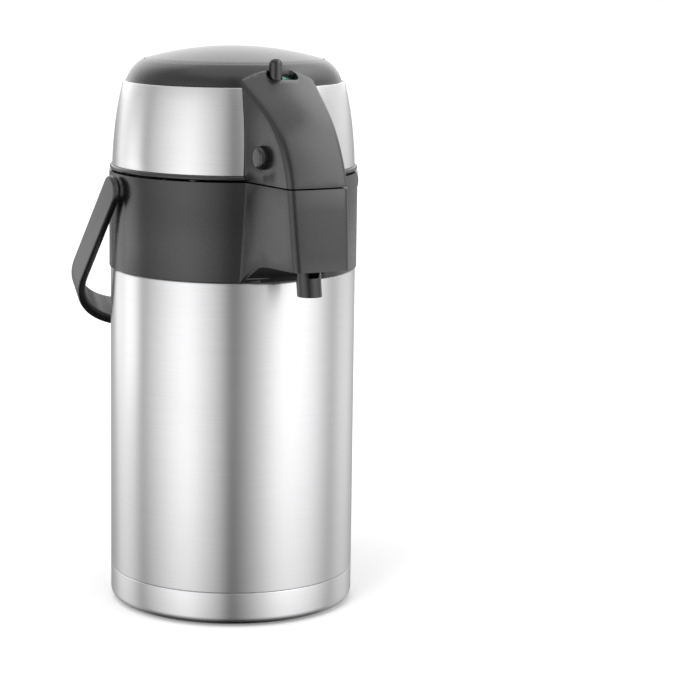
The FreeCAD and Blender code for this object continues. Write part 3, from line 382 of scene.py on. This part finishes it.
def buildBasePad():
    dims = basePad
    piece = traceOutline("basePad", (
        (0.0, 0.0, 0),
        (dims["grooveInner"], 0.0, dims["grooveEdge"]),
        (dims["grooveInner"], dims["grooveDepth"], dims["grooveCorner"]),
        (dims["grooveOuter"], dims["grooveDepth"], dims["grooveCorner"]),
        (dims["grooveOuter"], 0.0, dims["grooveEdge"]),
        (dims["radius"], 0.0, dims["edge"]),
        (dims["radius"], dims["thickness"], dims["topEdge"]),
        (0.0, dims["thickness"], 0),
    ))
    spinOutline(dims["steps"])
    standFor(piece, "base_pad")


# steel band of the head: a thin bulged strip, cut along the beak's sides
steelBand = {"steps": 150, "roundSteps": 3, "endAngle": 16.0, "wall": 0.8, "edge": 0.35, "front": -30.0,
             "endPlace": (25.8, -70.0, 267.5), "endSlope": (1.0, -0.137, 0.05),
             "curve": ((74.2, 271.2), (73.85, 279.0), (73.25, 287.0), (72.4, 295.5), (71.2, 304.0),
                       (69.65, 312.5), (67.6, 322.0))}


def buildSteelBand():
    dims = steelBand
    outside = [(radius, height, 0) for radius, height in dims["curve"]]
    inside = [(radius - dims["wall"], height, 0) for radius, height in reversed(dims["curve"])]
    outside[0] = (*outside[0][:2], dims["edge"])
    outside[-1] = (*outside[-1][:2], dims["edge"])
    piece = traceOutline("steelBand", tuple(outside + inside), angle=beakAngle - dims["endAngle"],
                         roundSteps=dims["roundSteps"])
    spinOutline(dims["steps"], sweep=fullTurn - 2.0 * dims["endAngle"])
    startEdit(piece)
    for side in (-1.0, 1.0):
        pickVertices(piece, lambda co: co.y < dims["front"] * mm and co.x * side > 0)
        place = [value * mm for value in dims["endPlace"]]
        slope = list(dims["endSlope"])
        place[0] *= side
        slope[0] *= side
        bpy.ops.mesh.bisect(plane_co=place, plane_no=slope, use_fill=True, clear_inner=True)
    bpy.ops.mesh.select_all(action="SELECT")
    bpy.ops.mesh.normals_make_consistent(inside=False)
    endEdit()
    smoothBelow(spunSmooth)
    standFor(piece, "lid_band")


buildBodyShell()
buildBaseCup()
buildBasePad()
buildSteelBand()
print("spun pieces ready")


# mouldings: smooth copies of the CAD shapes, with the width of their broken edges
mouldings = {
    "collarMoulding": {"node": "collar", "width": 0.3},
    "capMoulding": {"node": "lid_cap", "width": 0.3},
    "pressDome": {"node": "press_plate", "width": 0.3},
    "rimRing": {"node": "lid_rim", "width": 0.2},
    "carryHandle": {"node": "handle", "width": 0.3},
    "pourNozzle": {"node": "nozzle", "width": 0.3},
    "lockPeg": {"node": "lock_lever", "width": 0.0},
    "lockSlide": {"node": "lock_slide", "width": 0.2},
    "releaseButtonLeft": {"node": "release_button_left", "width": 0.0},
    "releaseButtonRight": {"node": "release_button_right", "width": 0.0},
}


def buildMouldings():
    for name, dims in mouldings.items():
        piece = softCopy(name, dims["node"], dims["width"])
        standFor(piece, dims["node"])
        print("moulding", name, len(piece.data.polygons))


# spout floor: a copy of the CAD floor, given the shaded moulding as painted shade, with a thin dark sheet
# joined on over the collar's front, a painted shadow where the beak shades the collar
spoutFloor = {"steps": 24, "halfAngle": 12.5, "inner": 76.04, "outer": 76.26, "low": 209.15, "high": 212.6}


def buildSpoutFloor():
    dims = spoutFloor
    # the thin dark sheet over the collar's front is a painted shadow under the beak
    edge = traceOutline("spoutShadeSheet", (
        (dims["inner"], dims["low"], 0),
        (dims["outer"], dims["low"], 0),
        (dims["outer"], dims["high"], 0),
        (dims["inner"], dims["high"], 0),
    ), angle=beakAngle + dims["halfAngle"])
    spinOutline(dims["steps"], sweep=2.0 * dims["halfAngle"])
    piece = softCopy("spoutFloor", "spout_floor")
    edge.select_set(True)
    bpy.ops.object.join()
    standFor(piece, "spout_floor")
    # the shaded copy of the black moulding, painted shade on the beak's underside
    piece.data.materials[0] = shadedMoulding


# soft and sprung pieces, each a smooth copy with a mesh of its own
springs = {
    "bellowsSleeve": {"node": "bellows", "joint": "press_stroke", "axis": (0, 0, 1),
                      "anchor": (0, 0, 0.2743), "keep": 0.62},
    "returnCoil": {"node": "return_spring", "joint": "press_stroke", "axis": (0, 0, 1),
                   "anchor": (0, 0, 0.2743), "keep": 0.62},
    "buttonCoilLeft": {"node": "button_spring_left", "joint": "button_left_press", "axis": (1, 0, 0),
                       "anchor": (-0.0017, 0, 0), "keep": 0.87},
    "buttonCoilRight": {"node": "button_spring_right", "joint": "button_right_press", "axis": (1, 0, 0),
                        "anchor": (0.0017, 0, 0), "keep": 0.87},
}


def buildSprings():
    for name, dims in springs.items():
        piece = softCopy(name, dims["node"])
        standFor(piece, dims["node"])
        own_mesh(piece)


buildMouldings()
buildSpoutFloor()
buildSprings()
print("mouldings and springs ready")


# studio: floor, reflector ring, lamps and world
studio = {
    "floorSize": 12.0,
    "floorDrop": 0.0002,
    "floorTone": 0.86,
    "floorRough": 0.9,
    # by distance from the pot, as a share of half the floor
    "floorGlow": ((0.0, 0.12), (0.06, 0.30), (0.30, 0.60), (1.0, 0.70)),
    "ambient": 0.55,
    "cameraAngle": -115.0,
    "ringSides": 128,
    "ringRadius": 0.55,
    "ringLow": -0.9,
    "ringRear": 0.33,
    "ringHigh": 1.30,
    # reflector brightness by angle from the camera, left and right, and by height
    "ringLeft": ((0, 0.20), (9, 0.68), (17, 0.98), (25, 1.20), (33, 1.44), (42, 1.54), (55, 1.34),
                 (66, 1.07), (77, 0.82), (88, 0.43), (99, 0.90), (112, 1.12), (124, 1.04), (137, 0.58),
                 (150, 0.48), (179, 0.45)),
    "ringRight": ((0, 0.20), (6, 0.32), (14, 0.56), (22, 0.80), (31, 1.10), (40, 1.40), (52, 1.53),
                  (66, 1.41), (78, 1.20), (90, 0.88), (101, 0.56), (116, 0.90), (130, 0.95), (148, 0.60),
                  (162, 0.45), (179, 0.45)),
    "ringFall": ((-0.9, 0.0), (-0.55, 0.10), (-0.25, 0.66), (-0.15, 0.74), (0.0, 0.92), (0.12, 1.0),
                 (0.22, 0.77), (0.27, 0.80), (0.33, 0.92), (1.3, 0.92)),
    # the upper part takes over with height; it is dim in front and bright behind
    "upperShare": ((-0.9, 0.0), (0.36, 0.0), (0.49, 0.30), (0.62, 0.80), (0.75, 1.0)),
    "upperFront": ((0, 0.15), (8, 0.45), (60, 0.50), (90, 0.60), (179, 0.60)),
    "upperRise": ((-0.9, 0.9), (0.60, 0.9), (0.90, 1.0), (1.3, 1.8)),
    "rearLeft": ((0, 0.45), (90, 0.45), (112, 0.65), (140, 1.70), (179, 1.70)),
    "rearRight": ((0, 0.60), (90, 0.60), (112, 0.80), (140, 1.00), (150, 1.30), (165, 1.70), (179, 1.70)),
    # a glow high on the right, which the beak's top mirrors, and one on the left for its side
    "glowRight": ((0, 0.0), (25, 0.10), (32, 0.40), (41, 0.80), (51, 1.40), (60, 1.85), (75, 1.95),
                  (90, 1.90), (103, 1.80), (122, 1.50), (142, 0.75), (160, 0.30), (179, 0.0)),
    "glowRightRise": ((-0.9, 0.0), (0.20, 0.0), (0.25, -0.35), (0.275, -0.25), (0.30, 0.10), (0.36, 0.35),
                      (0.50, 0.75), (0.65, 1.0), (0.85, 1.05), (1.05, 0.70), (1.3, 0.50)),
    "glowRearRise": ((-0.9, 0.0), (0.33, 0.0), (0.48, 0.05), (0.57, 0.30), (0.82, 0.90), (1.0, 1.0),
                     (1.3, 0.70)),
    "glowLeft": ((0, 0.0), (86, 0.0), (95, 0.62), (107, 0.58), (114, 0.16), (122, 0.16), (131, 0.45),
                 (140, 0.0), (179, 0.0)),
    "glowLeftRise": ((-0.9, 0.0), (0.02, 0.0), (0.10, 1.0), (0.29, 1.0), (0.35, -0.40), (0.58, -0.30),
                     (0.70, 0.0)),
    "unlit": ((0, 0.0), (179, 0.0)),
}


def lightPathMix(tree, dim, bright, rays):
    path = tree.nodes.new("ShaderNodeLightPath")
    seen = path.outputs[rays[0]]
    for ray in rays[1:]:
        either = addNode(tree, "ShaderNodeMath", operation="MAXIMUM")
        tree.links.new(seen, either.inputs[0])
        tree.links.new(path.outputs[ray], either.inputs[1])
        seen = either.outputs[0]
    mix = tree.nodes.new("ShaderNodeMixShader")
    tree.links.new(seen, mix.inputs["Fac"])
    tree.links.new(dim, mix.inputs[1])
    tree.links.new(bright, mix.inputs[2])
    return mix.outputs["Shader"]


whiteRays = ("Is Camera Ray", "Is Glossy Ray", "Is Transmission Ray")     # these see a white room


def buildFloor():
    bpy.ops.object.select_all(action="DESELECT")
    bpy.ops.mesh.primitive_plane_add(size=studio["floorSize"], location=(0, 0, -studio["floorDrop"]))
    floor = bpy.context.object
    floor.name = "paleFloor"
    material, tree, shader = newMaterial("paleFloor")
    shader.inputs["Base Color"].default_value = (*grey(studio["floorTone"]), 1.0)
    shader.inputs["Roughness"].default_value = studio["floorRough"]
    shader.inputs["Specular IOR Level"].default_value = 0.0
    # the floor is lifted to white where it is seen, and keeps the shadow
    reach = addNode(tree, "ShaderNodeTexGradient", gradient_type="SPHERICAL")
    tree.links.new(objectCoords(tree, grey(2.0 / studio["floorSize"])), reach.inputs["Vector"])
    levels = [(1.0 - place, grey(level)) for place, level in reversed(studio["floorGlow"])]
    glow = tree.nodes.new("ShaderNodeEmission")
    tree.links.new(rampOn(tree, reach.outputs["Fac"], levels), glow.inputs["Color"])
    lifted = tree.nodes.new("ShaderNodeAddShader")
    tree.links.new(shader.outputs["BSDF"], lifted.inputs[0])
    tree.links.new(glow.outputs["Emission"], lifted.inputs[1])
    seen = lightPathMix(tree, shader.outputs["BSDF"], lifted.outputs["Shader"], whiteRays)
    tree.links.new(seen, tree.nodes["Material Output"].inputs["Surface"])
    floor.data.materials.append(material)
    floor.visible_glossy = False


# the reflector's brightness is blended from curves by angle and by height
def reflectorMaterial(name, low, high, toward):
    material, tree, shader = newMaterial(name)
    tree.nodes.remove(shader)
    coords = tree.nodes.new("ShaderNodeTexCoord")
    mapping = addNode(tree, "ShaderNodeMapping", Rotation=(0, 0, -toward))
    angle = addNode(tree, "ShaderNodeTexGradient", gradient_type="RADIAL")
    tree.links.new(coords.outputs["Object"], mapping.inputs["Vector"])
    tree.links.new(mapping.outputs["Vector"], angle.inputs["Vector"])
    heights = tree.nodes.new("ShaderNodeSeparateXYZ")
    tree.links.new(coords.outputs["Object"], heights.inputs["Vector"])
    span = addNode(tree, "ShaderNodeMapRange", **{"From Min": low, "From Max": high})
    tree.links.new(heights.outputs["Z"], span.inputs["Value"])

    def byAngle(left, right):
        stops = [(0.5 - turn / fullTurn, grey(level)) for turn, level in reversed(studio[left])]
        stops += [(0.5 + turn / fullTurn, grey(level)) for turn, level in studio[right][1:]]
        return rampOn(tree, angle.outputs["Fac"], stops)

    def byHeight(rise):
        stops = [((height - low) / (high - low), grey(level)) for height, level in studio[rise]]
        return rampOn(tree, span.outputs["Result"], stops)

    def blend(kind, first, second, share=None):
        both = addNode(tree, "ShaderNodeMix", data_type="RGBA", blend_type=kind)
        firstColour, secondColour, result = both.inputs[6], both.inputs[7], both.outputs[2]
        both.inputs["Factor"].default_value = 1.0
        if share:
            tree.links.new(share, both.inputs["Factor"])
        tree.links.new(first, firstColour)
        tree.links.new(second, secondColour)
        return result

    right = byAngle("unlit", "glowRight")
    if name == "reflectorRear":
        glow = byAngle("rearLeft", "rearRight")
        glow = blend("ADD", glow, blend("MULTIPLY", right, byHeight("glowRearRise")))
    else:
        lower = blend("MULTIPLY", byAngle("ringLeft", "ringRight"), byHeight("ringFall"))
        upper = blend("MULTIPLY", byAngle("upperFront", "upperFront"), byHeight("upperRise"))
        glow = blend("MIX", lower, upper, byHeight("upperShare"))
        glow = blend("ADD", glow, blend("MULTIPLY", right, byHeight("glowRightRise")))
        left = byAngle("glowLeft", "unlit")
        glow = blend("ADD", glow, blend("MULTIPLY", left, byHeight("glowLeftRise")))
    light = tree.nodes.new("ShaderNodeEmission")
    tree.links.new(glow, light.inputs["Color"])
    tree.links.new(light.outputs["Emission"], tree.nodes["Material Output"].inputs["Surface"])
    return material


def buildReflector():
    bpy.ops.object.select_all(action="DESELECT")
    low, rear, high = studio["ringLow"], studio["ringRear"], studio["ringHigh"]
    bpy.ops.mesh.primitive_cylinder_add(vertices=studio["ringSides"], radius=studio["ringRadius"],
                                        depth=high - low, end_fill_type="NGON",
                                        location=(0, 0, (low + high) / 2.0))
    ring = bpy.context.object
    ring.name = "reflectorRing"
    bpy.ops.object.transform_apply(location=True, rotation=True, scale=True)
    # its top is open, and its rear half has its own glow above the pot, where the dome mirrors it
    startEdit(ring)
    bpy.ops.mesh.bisect(plane_co=(0, 0, rear), plane_no=(0, 0, 1))
    toward = math.radians(studio["cameraAngle"])
    work = bmesh.from_edit_mesh(ring.data)
    bpy.ops.mesh.select_all(action="DESELECT")
    for face in work.faces:
        spot = face.calc_center_median()
        behind = spot.x * math.cos(toward) + spot.y * math.sin(toward) < 0
        face.select = spot.z > high - mm
        face.material_index = 1 if behind and spot.z > rear else 0
    bmesh.update_edit_mesh(ring.data)
    bpy.ops.mesh.delete(type="FACE")
    endEdit()
    ring.data.materials.append(reflectorMaterial("reflectorRing", low, high, toward))
    ring.data.materials.append(reflectorMaterial("reflectorRear", low, high, toward))
    ring.visible_camera = False
    ring.visible_diffuse = False
    ring.visible_shadow = False


def buildWorld():
    world = bpy.data.worlds.new("studioWorld")
    scene.world = world
    world.use_nodes = True
    tree = world.node_tree
    tree.nodes.clear()
    out = tree.nodes.new("ShaderNodeOutputWorld")
    soft = addNode(tree, "ShaderNodeBackground", Color=(1, 1, 1, 1), Strength=studio["ambient"])
    white = addNode(tree, "ShaderNodeBackground", Color=(1, 1, 1, 1), Strength=1.0)
    seen = lightPathMix(tree, soft.outputs["Background"], white.outputs["Background"], whiteRays)
    tree.links.new(seen, out.inputs["Surface"])


# the lamps aren't mirrored in the steel; the reflector is
lamps = {
    "keyLeft": {"place": (-1.5, -1.1, 1.5), "size": (0.9, 1.6), "power": 22.0},
    "fillRight": {"place": (1.3, -1.5, 1.2), "size": (0.8, 1.6), "power": 10.0},
    "topSoft": {"place": (-0.1, 0.0, 2.0), "size": (1.4, 1.4), "power": 16.0},
}
lampAim = (0, 0, 0.22)


def buildLamps():
    for name, lamp in lamps.items():
        data = bpy.data.lights.new(name, "AREA")
        data.shape = "RECTANGLE"
        data.size, data.size_y = lamp["size"]
        data.energy = lamp["power"]
        light = bpy.data.objects.new(name, data)
        scene.collection.objects.link(light)
        light.location = lamp["place"]
        light.rotation_mode = "QUATERNION"
        light.rotation_quaternion = (Vector(lampAim) - light.location).to_track_quat("-Z", "Y")
        light.visible_glossy = False


# camera: metres, degrees, and the focal length in pixels of a square picture
view = {
    "eye": (-0.59501, -1.29066, 0.41857),
    "yaw": -24.870,
    "pitch": 8.832,
    "roll": 0.390,
    "focalPixels": 2329.95,
    "framePixels": 679.0,
    "sensor": 36.0,
    "shift": (0.1466, -0.085),
}


def buildCamera():
    data = bpy.data.cameras.new("photoCamera")
    camera = bpy.data.objects.new("photoCamera", data)
    scene.collection.objects.link(camera)
    data.sensor_width = view["sensor"]
    data.lens = view["focalPixels"] / view["framePixels"] * view["sensor"]
    data.shift_x, data.shift_y = view["shift"]
    camera.location = view["eye"]
    turns = (90.0 - view["pitch"], -view["roll"], view["yaw"])
    camera.rotation_euler = [math.radians(turn) for turn in turns]
    scene.camera = camera


buildFloor()
buildReflector()
buildWorld()
buildLamps()
buildCamera()
print("studio ready")
